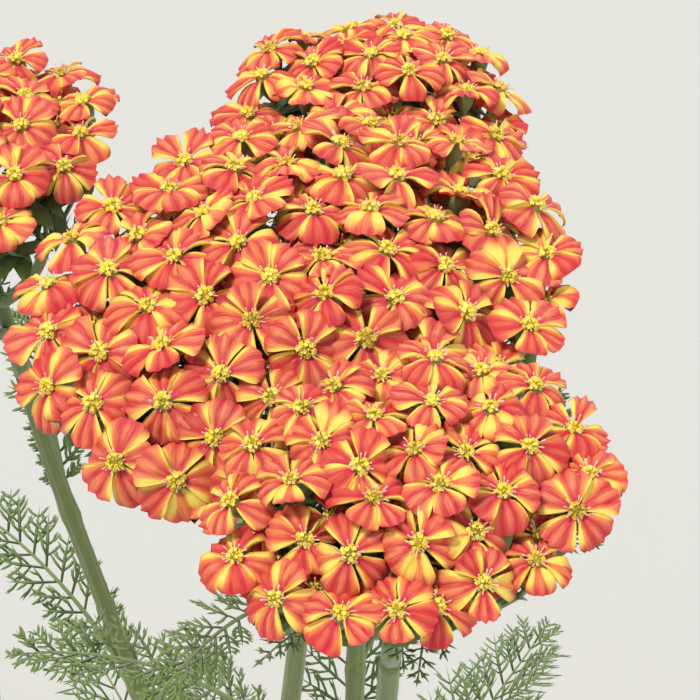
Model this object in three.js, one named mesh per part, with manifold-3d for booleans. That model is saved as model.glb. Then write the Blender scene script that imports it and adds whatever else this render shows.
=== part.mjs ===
// A potted yarrow, Achillea millefolium, in flower: four upright leafy stems with flat-topped
// clusters of small five-rayed flower heads, a rosette of ferny leaves, compost and a clay pot.
// Millimetres, +Z up. The origin is the middle of the pot's foot, on the surface it stands on,
// and -Y is the side that the lowest edge of the flower clusters leans towards.
import * as THREE from "three";
import Module from "manifold-3d";
import { mergeVertices } from "three/addons/utils/BufferGeometryUtils.js";

const wasm = await Module();
wasm.setup();

// ---- driving dimensions ----
const GAP = 0.3; // running gap between two pieces that touch
const POT = {
  height: 125, footRadius: 54, topRadius: 74, wall: 6, floor: 8, footRound: 2, sides: 32,
};
const RIM = { height: 24, proud: 5, flare: 1, round: 2, lip: 1, lipDrop: 2 };
const DRAIN = { count: 3, radius: 4.5, ring: 27, sides: 8 }; // the holes in the pot's floor
const SOIL = { level: 109, mound: 4, hole: 13 }; // level at the wall, and the depth of each hole
const MOUND = { shoulder: 0.72, shoulderRise: 1.5, crown: 0.5 }; // shares of the pot's inside
const STEM = {
  baseRadius: 2.3, topRadius: 1.5, ring: 11, collar: 12, bendAt: 0.55, neck: 25, sides: 6, steps: 6,
};
const CLUSTER = { foot: 52, hub: 27, tipDrop: 16 }; // depths of the branching below the flower heads
const TIPS = { long: 0.66, wide: 0.62, apart: 0.9 }; // the branch tips' spread, as shares of the cluster's
const BRANCH = { rootRadius: 1.05, tipRadius: 2.2, sides: 4, steps: 2, bendAt: 0.75, bendDrop: 0.3 };
const BRANCH_ROOTS = { lowest: 6, highest: 2 }; // above the foot, and below the hub
const HEAD = {
  radius: 4.4, spacing: 8.9, inset: 0.92, rays: 5, notch: 0.42, corner: 0.17,
  discRadius: 1.15, discFoot: 0.35, discRise: 1.0, cup: 1.5, cupDrop: 1.1, cupDepth: 4.3,
};
const PEDICEL = { radius: 0.42, sides: 3, sunk: 0.3, gather: 0.085 };
const SCATTER = { place: 1.2, tilt: 0.2, fan: 0.012 }; // how unevenly the heads stand
const UNEVEN = { head: 0.1, rayReach: 0.12, rayLift: 0.9, leaf: 0.16, leafTurn: 6 };
const OUTLINE_POWER = 2.1; // 2 is an ellipse, more is squarer
const SHADE = 0.9; // no head opens under this much of a taller cluster's outline
const LEAF = {
  rib: 0.75, ribHeight: 0.9, stalkWidth: 1.1, stalkHeight: 1.6, stalkShare: 0.16,
  leafletDroop: 0.12, leafletTip: 0.62,
};
const LEAF_OUTLINE = { from: 0.1, span: 0.82, power: 0.8 };
const HOLE_CLEARANCE = 3 * GAP; // round a stalk that stands in the compost
const GOLDEN_ANGLE = Math.PI * (3 - Math.sqrt(5));

// The flower clusters: top is the middle of the cluster's surface, lean how far its axis tips
// over and towards which heading, turn the heading of its long axis, size the scale of its
// flower heads. Headings are in degrees from +X. leaves says how many stem leaves there are, and
// sector and spread where they point.
const STEMS = [
  {
    name: "main", top: [4.4, 3.4, 424], long: 42.2, wide: 34.6, turn: 38, lean: 3, towards: 270,
    size: 1, heads: 62, branches: 10, sag: 8, seed: 11, base: 200,
    leaves: 5, sector: 215, spread: 48,
  },
  {
    name: "front", top: [19.6, -42, 434.5], long: 26.9, wide: 20.4, turn: 25, lean: 8, towards: 285,
    size: 0.84, heads: 34, branches: 6, sag: 6, seed: 23, base: 290,
    leaves: 4, sector: 310, spread: 50,
  },
  {
    name: "back", top: [16, 53, 415.5], long: 24.4, wide: 24, turn: 0, lean: 8, towards: 80,
    size: 0.96, heads: 27, branches: 5, sag: 6, seed: 37, base: 20,
    leaves: 4, sector: 55, spread: 55,
  },
  {
    name: "left", top: [-50, 41, 414], long: 28, wide: 22, turn: 60, lean: 9, towards: 150,
    size: 0.96, heads: 27, branches: 5, sag: 6, seed: 41, base: 110,
    leaves: 4, sector: 145, spread: 45,
  },
];
const BASAL = { count: 9, ring: 25, length: 132, width: 13.5, stalk: 4, pairs: 12, seed: 5 };
const BASAL_COLLAR = { below: 3, above: 4, out: 0.5 }; // where a rosette leaf leaves the compost
// How far out and up a rosette leaf's spine runs, as shares of its length.
const UPRIGHT_SPINE = [[0.2, 0.42], [0.46, 0.62], [0.76, 0.56]];
const SPREADING_SPINE = [[0.2, 0.26], [0.52, 0.36], [0.84, 0.24]];
const CAULINE = {
  first: 92, last: 34, longest: 84, shortest: 40, widthShare: 0.145, stalk: 1, pairs: 7, fewer: 2,
};
const CAULINE_SPINE = { bend: [0.38, 0.5], tip: [0.88, 0.34] }; // out and up, as shares of length
const CAULINE_TURN = { first: 0.2, step: 0.618 }; // where the leaves point, as shares of the sector

// ---- small helpers ----
// A repeatable stream of numbers from 0 to 1.
function randomFrom(seed) {
  let state = seed >>> 0;
  return () => {
    state = (Math.imul(state, 1664525) + 1013904223) >>> 0;
    return state / 4294967296;
  };
}

// 1, give or take half a spread.
const uneven = (random, spread) => 1 + spread * (random() - 0.5);

const lerp = THREE.MathUtils.lerp;
const radians = THREE.MathUtils.degToRad;
const heading = (degrees) =>
  new THREE.Vector3(Math.cos(radians(degrees)), Math.sin(radians(degrees)), 0);

function geometryOf(points, triangles) {
  const positions = new Float32Array(points.flatMap((p) => [p.x, p.y, p.z]));
  return new THREE.BufferGeometry()
    .setAttribute("position", new THREE.BufferAttribute(positions, 3))
    .setIndex(triangles);
}

function solidOf(geometry) {
  const bare = geometry.clone();
  bare.deleteAttribute("normal");
  bare.deleteAttribute("uv");
  const merged = mergeVertices(bare, 1e-4);
  return new wasm.Manifold(
    new wasm.Mesh({
      numProp: 3,
      vertProperties: merged.attributes.position.array,
      triVerts: new Uint32Array(merged.index.array),
    }),
  );
}

const fuse = (solids) => solids.reduce((all, next) => all.add(next));

function meshOf(name, solid, material) {
  const made = solid.getMesh();
  const positions = new Float32Array(made.numVert * 3);
  for (let i = 0; i < made.numVert; i++) {
    const from = i * made.numProp;
    positions.set(made.vertProperties.subarray(from, from + 3), i * 3);
  }
  const geometry = new THREE.BufferGeometry()
    .setAttribute("position", new THREE.BufferAttribute(positions, 3))
    .setIndex(new THREE.BufferAttribute(new Uint32Array(made.triVerts), 1));
  geometry.computeVertexNormals();
  const mesh = new THREE.Mesh(geometry, material);
  mesh.name = name;
  return mesh;
}

// Joins rings of points, each turning anticlockwise seen from beyond the last ring.
// Neighbouring rings may differ in count where one count is a multiple of the other.
function ringsSolid(rings) {
  const points = rings.flat();
  const triangles = [];
  let start = 0;
  rings.forEach((ring, level) => {
    if (level > 0) {
      const below = rings[level - 1];
      const from = start - below.length;
      const most = Math.max(below.length, ring.length);
      const low = (k) => from + (Math.floor((k * below.length) / most) % below.length);
      const high = (k) => start + (Math.floor((k * ring.length) / most) % ring.length);
      for (let k = 0; k < most; k++) {
        if (low(k) !== low(k + 1)) triangles.push(low(k), low(k + 1), high(k));
        if (high(k) !== high(k + 1)) triangles.push(low(k + 1), high(k + 1), high(k));
      }
    }
    start += ring.length;
  });
  const lastStart = points.length - rings.at(-1).length;
  for (let k = 1; k + 1 < rings[0].length; k++) triangles.push(0, k + 1, k);
  for (let k = 1; k + 1 < rings.at(-1).length; k++)
    triangles.push(lastStart, lastStart + k, lastStart + k + 1);
  return solidOf(geometryOf(points, triangles));
}

// A ring of points round an axis through a centre.
function ringAt(centre, axis, radius, sides) {
  const side = new THREE.Vector3(1, 0, 0).addScaledVector(axis, -axis.x).normalize();
  const other = new THREE.Vector3().crossVectors(axis, side);
  return Array.from({ length: sides }, (_, k) => {
    const angle = (k / sides) * 2 * Math.PI;
    return centre
      .clone()
      .addScaledVector(side, radius * Math.cos(angle))
      .addScaledVector(other, radius * Math.sin(angle));
  });
}

// A round stalk along a curve, tapering from one radius to another. Its end is square to the
// curve, or to an axis of its own.
function stalkSolid(curve, fromRadius, toRadius, sides, steps, endAxis) {
  const rings = Array.from({ length: steps + 1 }, (_, k) => {
    const at = k / steps;
    const axis = k === steps && endAxis ? endAxis : curve.getTangentAt(at);
    const radius = lerp(fromRadius, toRadius, at);
    return ringAt(curve.getPointAt(at), axis, radius, sides);
  });
  return ringsSolid(rings);
}

// ---- where the flower heads go ----
// Even places inside a rounded outline: a sunflower spiral whose points then push each other
// apart until they stand a spacing from their neighbours.
function evenPlaces(count, halfLength, halfWidth, spacing) {
  const places = Array.from({ length: count }, (_, n) => {
    const reach = Math.sqrt((n + 0.5) / count);
    const angle = n * GOLDEN_ANGLE;
    return [halfLength * reach * Math.cos(angle), halfWidth * reach * Math.sin(angle)];
  });
  const passes = 80;
  const yielding = 0.4; // how much of an overlap each of two points gives way in one pass
  for (let pass = 0; pass < passes; pass++) {
    for (let i = 0; i < count; i++)
      for (let j = i + 1; j < count; j++) {
        const [dx, dy] = [places[j][0] - places[i][0], places[j][1] - places[i][1]];
        const distance = Math.hypot(dx, dy);
        if (distance >= spacing) continue;
        const push = (yielding * (spacing - distance)) / distance;
        places[i] = [places[i][0] - dx * push, places[i][1] - dy * push];
        places[j] = [places[j][0] + dx * push, places[j][1] + dy * push];
      }
    for (const place of places) {
      const reach = outlineReach(place, halfLength, halfWidth);
      if (reach > 1) place.splice(0, 2, place[0] / reach, place[1] / reach);
    }
  }
  return places;
}

// 0 in the middle of a cluster and 1 on its outline.
function outlineReach([x, y], halfLength, halfWidth) {
  const sum = Math.abs(x / halfLength) ** OUTLINE_POWER + Math.abs(y / halfWidth) ** OUTLINE_POWER;
  return sum ** (1 / OUTLINE_POWER);
}

// A cluster's own frame: its axis, its long and short directions, and a way from a place on
// its plan to the point on its domed surface, or below that by a depth.
function clusterFrame(stem) {
  const axis = new THREE.Vector3(0, 0, 1)
    .addScaledVector(heading(stem.towards), Math.tan(radians(stem.lean)))
    .normalize();
  const along = heading(stem.turn);
  along.addScaledVector(axis, -along.dot(axis)).normalize();
  const across = new THREE.Vector3().crossVectors(axis, along);
  const top = new THREE.Vector3(...stem.top);
  const at = ([x, y], depth = 0) => {
    const reach = outlineReach([x, y], stem.long, stem.wide);
    return top
      .clone()
      .addScaledVector(along, x)
      .addScaledVector(across, y)
      .addScaledVector(axis, -stem.sag * reach * reach - depth);
  };
  return { axis, along, across, top, at };
}

// Whether a taller cluster spreads over a point.
function isShaded(point, stem) {
  return STEMS.filter((other) => other.top[2] > stem.top[2]).some((taller) => {
    const frame = clusterFrame(taller);
    const offset = point.clone().sub(frame.top);
    const place = [offset.dot(frame.along), offset.dot(frame.across)];
    return outlineReach(place, taller.long, taller.wide) < SHADE;
  });
}

// ---- the flower heads ----
// One flower head: a domed disc, its broad rays with a notch between each two, in one
// cone-backed plate, the green cup under them and the pedicel down to the branch.
function headSolid(centre, normal, scale, spin, root, random) {
  const side = new THREE.Vector3(1, 0, 0).addScaledVector(normal, -normal.x).normalize();
  const other = new THREE.Vector3().crossVectors(normal, side);
  const point = (radius, angle, height) =>
    centre
      .clone()
      .addScaledVector(side, scale * radius * Math.cos(angle + spin))
      .addScaledVector(other, scale * radius * Math.sin(angle + spin))
      .addScaledVector(normal, scale * height);
  const { rays } = HEAD;
  const turn = (2 * Math.PI) / rays;
  const rim = [];
  for (let ray = 0; ray < rays; ray++) {
    const lift = UNEVEN.rayLift * (random() - 0.5);
    const reach = HEAD.radius * uneven(random, UNEVEN.rayReach);
    rim.push(point(HEAD.notch * HEAD.radius, ray * turn, 0));
    rim.push(point(reach, (ray + HEAD.corner) * turn, lift));
    rim.push(point(reach, (ray + 1 - HEAD.corner) * turn, lift));
  }
  const down = centre.clone().sub(root).normalize();
  const cupFoot = centre.clone().addScaledVector(normal, -scale * HEAD.cupDepth);
  const ringOf = (radius, height) =>
    Array.from({ length: rays }, (_, ray) => point(radius, ray * turn, height));
  const points = [
    ...ringAt(root, down, PEDICEL.radius, PEDICEL.sides),
    ...ringAt(cupFoot, down, PEDICEL.radius, PEDICEL.sides),
    ...ringOf(HEAD.cup, -HEAD.cupDrop),
    ...rim,
    ...ringOf(HEAD.discRadius, HEAD.discFoot),
    point(0, 0, HEAD.discRise),
  ];
  return solidOf(geometryOf(points, headTriangles(rim.length)));
}

// The triangles of a flower head, in the order that headSolid lists its points.
function headTriangles(rimCount) {
  const { rays } = HEAD;
  const { sides } = PEDICEL;
  const [root, foot, cup] = [0, sides, 2 * sides];
  const rim = cup + rays;
  const disc = rim + rimCount;
  const apex = disc + rays;
  const triangles = [root, root + 2, root + 1];
  for (let k = 0; k < sides; k++) {
    const next = (k + 1) % sides;
    triangles.push(root + k, root + next, foot + next, root + k, foot + next, foot + k);
  }
  // From three points up to five: each cup edge joins its nearest foot point.
  const nearest = [0, 1, 1, 2, 2];
  for (let ray = 0; ray < rays; ray++) {
    const next = (ray + 1) % rays;
    const [here, there] = [nearest[ray], nearest[next]];
    triangles.push(foot + here, cup + next, cup + ray);
    if (here !== there) triangles.push(foot + here, foot + there, cup + next);
  }
  for (let ray = 0; ray < rays; ray++) {
    const next = (ray + 1) % rays;
    const [notch, left, right] = [0, 1, 2].map((k) => rim + 3 * ray + k);
    const nextNotch = rim + 3 * next;
    const fan = (low, high, out) => {
      const edges = [
        [low, notch, left], [low, left, high], [high, left, right], [high, right, nextNotch],
      ];
      for (const [a, b, c] of edges) triangles.push(...(out ? [a, b, c] : [a, c, b]));
    };
    fan(disc + ray, disc + next, true);
    fan(cup + ray, cup + next, false);
    triangles.push(apex, disc + ray, disc + next);
  }
  return triangles;
}

// ---- a flower cluster on its branches ----
function clusterSolid(stem) {
  const frame = clusterFrame(stem);
  const random = randomFrom(stem.seed);
  const inset = stem.size * HEAD.inset * HEAD.radius;
  const places = evenPlaces(stem.heads, stem.long - inset, stem.wide - inset, HEAD.spacing);
  const tipPlaces = evenPlaces(
    stem.branches, TIPS.long * stem.long, TIPS.wide * stem.wide, TIPS.apart * stem.wide,
  );
  const stretch = (depth) => frame.at([0, 0], depth);
  const foot = stretch(CLUSTER.foot);
  const pieces = [
    stalkSolid(
      new THREE.LineCurve3(foot, stretch(CLUSTER.hub)),
      STEM.topRadius, BRANCH.rootRadius, STEM.sides, 1,
    ),
  ];
  const tips = tipPlaces.map((place) => frame.at(place, CLUSTER.tipDrop));
  tips.forEach((tip, k) => {
    const [high, low] = [CLUSTER.hub + BRANCH_ROOTS.highest, CLUSTER.foot - BRANCH_ROOTS.lowest];
    const root = stretch(lerp(high, low, k / tips.length));
    const climb = tip.clone().sub(root).dot(frame.axis);
    const bend = root
      .clone()
      .lerp(tip, BRANCH.bendAt)
      .addScaledVector(frame.axis, -BRANCH.bendDrop * climb);
    pieces.push(
      stalkSolid(
        new THREE.QuadraticBezierCurve3(root, bend, tip),
        BRANCH.rootRadius, BRANCH.tipRadius, BRANCH.sides, BRANCH.steps, frame.axis,
      ),
    );
  });
  for (const place of places) {
    if (isShaded(frame.at(place), stem)) continue;
    const jitter = () => SCATTER.place * (random() - 0.5);
    const tilt = (reach) => SCATTER.fan * reach + SCATTER.tilt * (random() - 0.5);
    const spot = [place[0] + jitter(), place[1] + jitter()];
    const centre = frame.at(spot, jitter());
    const tip = tips.reduce((a, b) =>
      a.distanceToSquared(centre) < b.distanceToSquared(centre) ? a : b,
    );
    const spread = centre.clone().sub(tip).projectOnPlane(frame.axis);
    const root = tip
      .clone()
      .addScaledVector(spread, PEDICEL.gather)
      .addScaledVector(frame.axis, -PEDICEL.sunk);
    const normal = frame.axis
      .clone()
      .addScaledVector(frame.along, tilt(spot[0]))
      .addScaledVector(frame.across, tilt(spot[1]))
      .normalize();
    const scale = stem.size * uneven(random, UNEVEN.head);
    const spin = 2 * Math.PI * random();
    pieces.push(headSolid(centre, normal, scale, spin, root, random));
  }
  return fuse(pieces);
}

// ---- stems and leaves ----
function stemCurve(stem) {
  const frame = clusterFrame(stem);
  const foot = frame.at([0, 0], CLUSTER.foot + GAP);
  const base = heading(stem.base).multiplyScalar(STEM.ring);
  const soil = SOIL.level + SOIL.mound;
  const deep = base.clone().setZ(soil - SOIL.hole + GAP);
  const collar = base.clone().setZ(soil);
  const out = base.clone().setZ(soil + STEM.collar);
  const half = base
    .clone()
    .lerp(new THREE.Vector3(foot.x, foot.y, 0), 0.5)
    .setZ(lerp(out.z, foot.z, STEM.bendAt));
  const under = foot.clone().addScaledVector(frame.axis, -STEM.neck);
  return new THREE.CatmullRomCurve3([deep, collar, out, half, under, foot]);
}

// A cut leaf on a curve: a thin rib, bare for its first stalk segments, then with a pair of
// pointed leaflets to each segment. widthAt gives their reach from 0 at the base to 1 at the tip.
function leafSolid(curve, side, stalk, pairs, widthAt) {
  const segments = stalk + pairs;
  const along = (k) =>
    k <= stalk ? (LEAF.stalkShare * k) / stalk : lerp(LEAF.stalkShare, 1, (k - stalk) / pairs);
  const points = [];
  const layer = (centre, normal, reach, height) => {
    for (const up of [1, -1])
      for (const way of [1, -1])
        points.push(
          centre
            .clone()
            .addScaledVector(side, way * reach)
            .addScaledVector(normal, (up * height) / 2),
        );
  };
  for (let k = 0; k <= segments; k++) {
    const at = Math.min(along(k), 1);
    const normal = new THREE.Vector3().crossVectors(curve.getTangentAt(at), side).normalize();
    const bare = Math.max(0, 1 - k / (stalk + 1));
    const reach = lerp(LEAF.rib, LEAF.stalkWidth, bare);
    const height = lerp(LEAF.ribHeight, LEAF.stalkHeight, bare);
    layer(curve.getPointAt(at), normal, k === segments ? 0.5 * reach : reach, height);
  }
  const rib = (k, corner) => 4 * k + corner; // corners: 0 top +side, 1 top -side, 2 low +, 3 low -
  const triangles = [];
  const quad = (a, b, c, d) => triangles.push(a, c, b, a, d, c);
  quad(rib(0, 0), rib(0, 1), rib(0, 3), rib(0, 2));
  quad(rib(segments, 1), rib(segments, 0), rib(segments, 2), rib(segments, 3));
  for (let k = 0; k < segments; k++) {
    quad(rib(k, 1), rib(k, 0), rib(k + 1, 0), rib(k + 1, 1));
    quad(rib(k, 2), rib(k, 3), rib(k + 1, 3), rib(k + 1, 2));
    const share = (along(k) + along(k + 1)) / 2;
    for (const way of [1, -1]) {
      const corner = way > 0 ? 0 : 1;
      const [a, b] = [rib(k, corner), rib(k + 1, corner)];
      const [c, d] = [rib(k, corner + 2), rib(k + 1, corner + 2)];
      if (k < stalk) {
        if (way > 0) quad(a, c, d, b);
        else quad(b, d, c, a);
        continue;
      }
      const ahead = Math.min(share + 0.5 / segments, 1);
      const normal = new THREE.Vector3().crossVectors(curve.getTangentAt(ahead), side);
      const tip = curve
        .getPointAt(ahead)
        .addScaledVector(side, way * widthAt(share))
        .addScaledVector(normal, -LEAF.leafletDroop * widthAt(share));
      const first = points.length;
      points.push(
        tip.clone().addScaledVector(normal, LEAF.leafletTip / 2),
        tip.clone().addScaledVector(normal, -LEAF.leafletTip / 2),
      );
      const faces = [
        [a, first, b], [c, d, first + 1],
        [a, c, first + 1], [a, first + 1, first],
        [b, first, first + 1], [b, first + 1, d],
      ];
      for (const [p, q, r] of faces) triangles.push(...(way > 0 ? [p, r, q] : [p, q, r]));
    }
  }
  return solidOf(geometryOf(points, triangles));
}

// A leaf's outline: widest a little past the middle, narrow at both ends.
const leafWidth = (most) => (at) => {
  const { from, span, power } = LEAF_OUTLINE;
  return most * Math.sin(Math.PI * (from + span * at)) ** power;
};

function stemLeaf(stem, curve, k) {
  const climb = k / Math.max(1, stem.leaves - 1);
  const length = lerp(CAULINE.longest, CAULINE.shortest, climb);
  const rise = curve.getLength();
  const at = lerp(CAULINE.first, rise - CAULINE.last, climb) / rise;
  const turned = (CAULINE_TURN.first + k * CAULINE_TURN.step) % 1;
  const out = heading(stem.sector + stem.spread * (2 * turned - 1));
  const side = new THREE.Vector3(-out.y, out.x, 0);
  const root = curve.getPointAt(at);
  const point = ([reach, up]) =>
    root.clone().addScaledVector(out, reach * length).add(new THREE.Vector3(0, 0, up * length));
  const { bend, tip } = CAULINE_SPINE;
  const spine = new THREE.QuadraticBezierCurve3(root, point(bend), point(tip));
  const width = leafWidth(CAULINE.widthShare * length);
  const pairs = CAULINE.pairs - Math.round(CAULINE.fewer * climb);
  return leafSolid(spine, side, CAULINE.stalk, pairs, width);
}

function stemSolid(stem) {
  const curve = stemCurve(stem);
  const pieces = [
    stalkSolid(curve, STEM.baseRadius, STEM.topRadius, STEM.sides, STEM.steps),
  ];
  for (let k = 0; k < stem.leaves; k++) pieces.push(stemLeaf(stem, curve, k));
  return fuse(pieces);
}

// ---- the rosette ----
// A rosette leaf's length, and the direction it grows out in.
function basalPlan(k) {
  const random = randomFrom(BASAL.seed + k);
  const length = BASAL.length * uneven(random, UNEVEN.leaf);
  const aim = (360 * (k + 0.5)) / BASAL.count + UNEVEN.leafTurn * (random() - 0.5);
  return { length, out: heading(aim) };
}

function basalSolid(k) {
  const { length, out } = basalPlan(k);
  const side = new THREE.Vector3(-out.y, out.x, 0);
  const soil = SOIL.level + SOIL.mound;
  const point = (reach, up) =>
    out.clone().multiplyScalar(BASAL.ring + reach).setZ(soil + up);
  const stops = k % 2 ? UPRIGHT_SPINE : SPREADING_SPINE;
  const spine = new THREE.CatmullRomCurve3([
    point(0, GAP - SOIL.hole),
    point(0, -BASAL_COLLAR.below),
    point(BASAL_COLLAR.out, BASAL_COLLAR.above),
    ...stops.map(([reach, up]) => point(reach * length, up * length)),
  ]);
  return leafSolid(spine, side, BASAL.stalk, BASAL.pairs, leafWidth(BASAL.width));
}

// ---- pot and compost ----
const wallSlope = (POT.topRadius - POT.footRadius) / POT.height;
const outerRadius = (z) => POT.footRadius + wallSlope * z;
const innerRadius = (z) => outerRadius(z) - POT.wall;

function potSolid() {
  const rimFoot = POT.height - RIM.height;
  const rimRadius = outerRadius(POT.height) + RIM.proud;
  const profile = [
    [0, 0],
    [POT.footRadius - POT.footRound, 0],
    [outerRadius(POT.footRound), POT.footRound],
    [outerRadius(rimFoot), rimFoot],
    [rimRadius - RIM.flare, rimFoot],
    [rimRadius, POT.height - RIM.round],
    [rimRadius - RIM.round, POT.height],
    [innerRadius(POT.height) + RIM.lip, POT.height],
    [innerRadius(POT.height - RIM.lipDrop), POT.height - RIM.lipDrop],
    [innerRadius(POT.floor), POT.floor],
    [0, POT.floor],
  ].map(([r, z]) => new THREE.Vector2(r, z));
  let pot = solidOf(new THREE.LatheGeometry(profile, POT.sides).rotateX(Math.PI / 2));
  for (let k = 0; k < DRAIN.count; k++) {
    const spot = heading((360 * k) / DRAIN.count).multiplyScalar(DRAIN.ring);
    const past = DRAIN.radius; // the cut runs on beyond both faces of the floor
    const bore = new THREE.LineCurve3(
      spot.clone().setZ(-past),
      spot.clone().setZ(POT.floor + past),
    );
    pot = pot.subtract(stalkSolid(bore, DRAIN.radius, DRAIN.radius, DRAIN.sides, 1));
  }
  return pot;
}

function soilSolid() {
  const low = POT.floor + GAP;
  const crown = SOIL.level + SOIL.mound;
  const profile = [
    [0, low],
    [innerRadius(low) - 2 * GAP, low],
    [innerRadius(SOIL.level) - 2 * GAP, SOIL.level],
    [MOUND.shoulder * innerRadius(SOIL.level), SOIL.level + MOUND.shoulderRise],
    [MOUND.crown * innerRadius(SOIL.level), crown],
    [0, crown],
  ].map(([r, z]) => new THREE.Vector2(r, z));
  let soil = solidOf(new THREE.LatheGeometry(profile, POT.sides).rotateX(Math.PI / 2));
  const hole = (spot, radius) =>
    stalkSolid(
      new THREE.LineCurve3(
        spot.clone().setZ(crown - SOIL.hole),
        spot.clone().setZ(crown + SOIL.mound),
      ),
      radius, radius, STEM.sides, 1,
    );
  for (const stem of STEMS) {
    const spot = heading(stem.base).multiplyScalar(STEM.ring);
    soil = soil.subtract(hole(spot, STEM.baseRadius + HOLE_CLEARANCE));
  }
  for (let k = 0; k < BASAL.count; k++) {
    const spot = basalPlan(k).out.multiplyScalar(BASAL.ring);
    soil = soil.subtract(hole(spot, LEAF.stalkWidth + HOLE_CLEARANCE));
  }
  return soil;
}

// ---- the plant ----
const finish = (colour, roughness) =>
  new THREE.MeshStandardMaterial({ color: colour, roughness, metalness: 0 });
const MATERIALS = {
  rays: finish(0xe0604f, 0.6),
  stem: finish(0x7d9a55, 0.7),
  leaf: finish(0x5f8343, 0.75),
  soil: finish(0x3a2a1e, 0.95),
  clay: finish(0xb5653f, 0.85),
};

const plant = new THREE.Group();
plant.add(meshOf("pot", potSolid(), MATERIALS.clay));
plant.add(meshOf("soil", soilSolid(), MATERIALS.soil));
for (const stem of STEMS) {
  const sprig = new THREE.Group();
  sprig.add(meshOf("stem_" + stem.name, stemSolid(stem), MATERIALS.stem));
  sprig.add(meshOf("flower_cluster_" + stem.name, clusterSolid(stem), MATERIALS.rays));
  plant.add(sprig);
}
for (let k = 0; k < BASAL.count; k++)
  plant.add(meshOf("basal_leaf_" + (k + 1), basalSolid(k), MATERIALS.leaf));

export default plant;
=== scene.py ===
"""The looks of a potted yarrow in flower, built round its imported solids.

Lengths are millimetres until a batch makes its mesh, in metres. The flower heads, branches,
stems and leaves stand where the solids have them, because the same rules place them.
"""
import math

import bpy
import numpy as np
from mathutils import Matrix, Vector


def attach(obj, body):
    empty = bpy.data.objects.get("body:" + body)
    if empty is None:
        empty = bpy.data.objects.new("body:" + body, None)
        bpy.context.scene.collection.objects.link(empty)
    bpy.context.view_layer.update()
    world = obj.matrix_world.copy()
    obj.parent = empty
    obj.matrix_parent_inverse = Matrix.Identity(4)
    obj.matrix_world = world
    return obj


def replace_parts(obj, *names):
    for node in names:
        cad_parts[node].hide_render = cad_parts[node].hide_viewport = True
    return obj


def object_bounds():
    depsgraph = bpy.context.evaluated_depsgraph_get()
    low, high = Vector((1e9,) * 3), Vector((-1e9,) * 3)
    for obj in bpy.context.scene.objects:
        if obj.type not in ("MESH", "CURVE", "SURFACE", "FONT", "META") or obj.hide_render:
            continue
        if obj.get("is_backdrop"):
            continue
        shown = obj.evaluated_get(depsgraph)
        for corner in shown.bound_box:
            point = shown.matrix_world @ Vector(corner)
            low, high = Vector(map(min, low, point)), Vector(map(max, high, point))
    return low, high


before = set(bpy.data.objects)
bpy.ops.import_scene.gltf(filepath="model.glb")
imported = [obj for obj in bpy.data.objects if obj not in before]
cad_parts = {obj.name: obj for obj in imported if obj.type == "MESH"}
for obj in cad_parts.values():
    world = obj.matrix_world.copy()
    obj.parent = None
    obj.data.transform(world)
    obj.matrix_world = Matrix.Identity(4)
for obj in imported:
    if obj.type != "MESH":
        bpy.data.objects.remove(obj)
cad_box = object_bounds()

METRES = 0.001
TAU = 2 * math.pi
GOLDEN_ANGLE = math.pi * (3 - math.sqrt(5))

# ---- driving dimensions, the same as the solids' ----
GAP = 0.3
POT = {"height": 125, "foot_radius": 54, "top_radius": 74, "wall": 6, "floor": 8}
RIM = {"height": 24, "proud": 5}
DRAIN = {"count": 3, "radius": 4.5, "ring": 27}
SOIL = {"level": 109, "mound": 4, "hole": 13}
STEM = {"base_radius": 2.3, "top_radius": 1.5, "ring": 11}
CLUSTER = {"foot": 52, "hub": 27, "tip_drop": 16}
TIPS = {"long": 0.66, "wide": 0.62, "apart": 0.9}
BRANCH = {"root_radius": 1.05, "bend_at": 0.75, "bend_drop": 0.3}
BRANCH_ROOTS = {"lowest": 6, "highest": 2}
HEAD = {"radius": 4.4, "spacing": 8.9, "inset": 0.92, "cup_depth": 4.3}
PEDICEL = {"sunk": 0.3, "gather": 0.085, "radii": (0.36, 0.42)}
SCATTER = {"place": 1.2, "tilt": 0.2, "fan": 0.012}
OUTLINE_POWER = 2.1
SHADE = 0.9
STEM_FIELDS = (
    "name top long wide turn lean towards size heads branches sag seed base leaves sector spread"
).split()
STEMS = [dict(zip(STEM_FIELDS, row)) for row in (
    ("main", (4.4, 3.4, 424), 42.2, 34.6, 38, 3, 270, 1, 62, 10, 8, 11, 200, 5, 215, 48),
    ("front", (19.6, -42, 434.5), 26.9, 20.4, 25, 8, 285, 0.84, 34, 6, 6, 23, 290, 4, 310, 50),
    ("back", (16, 53, 415.5), 24.4, 24, 0, 8, 80, 0.96, 27, 5, 6, 37, 20, 4, 55, 55),
    ("left", (-50, 41, 414), 28, 22, 60, 9, 150, 0.96, 27, 5, 6, 41, 110, 4, 145, 45),
)]
BASAL = {"count": 9, "ring": 25, "length": 132, "width": 13.5, "seed": 5}
CAULINE = {"first": 92, "last": 34, "longest": 84, "shortest": 40, "width_share": 0.145}

# ---- what the finer pieces add ----
RAYS = 5  # to a head
RAY = {"length": 5.9, "half_width": 3.0, "root": 0.9, "thickness": 0.2, "neck": 0.17,
       "widest": 0.82, "narrowing": 0.13, "shoulder": 0.19, "pleat": 0.27, "roll": 0.85}
RAY_VARIES = {  # from the least to the most
    "length": (0.87, 1.07), "width": (0.8, 1.16), "notch": (0.025, 0.075), "roll": (0.15, 1.0),
    "arch": (0.3, 1.1), "droop": (0.1, 1.7), "bulge": (0.1, 0.75), "curl": (-0.5, 0.6),
    "swing": (-0.18, 0.18), "tilt": (-0.31, 0.31),
}
RAY_GRID = {"open": (10, 7), "late": (6, 5)}  # faces across and along a ray
DISC = {"radius": 1.14, "floret": 0.37, "rise": 0.68, "spread": 1.3, "varies": (0.92, 1.12),
        "bud": 0.75, "opened": (0.95, 1.4)}
FLORETS = {"open": 14, "late": 8}
STYLES = {"open": 10, "late": 5}
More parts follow.
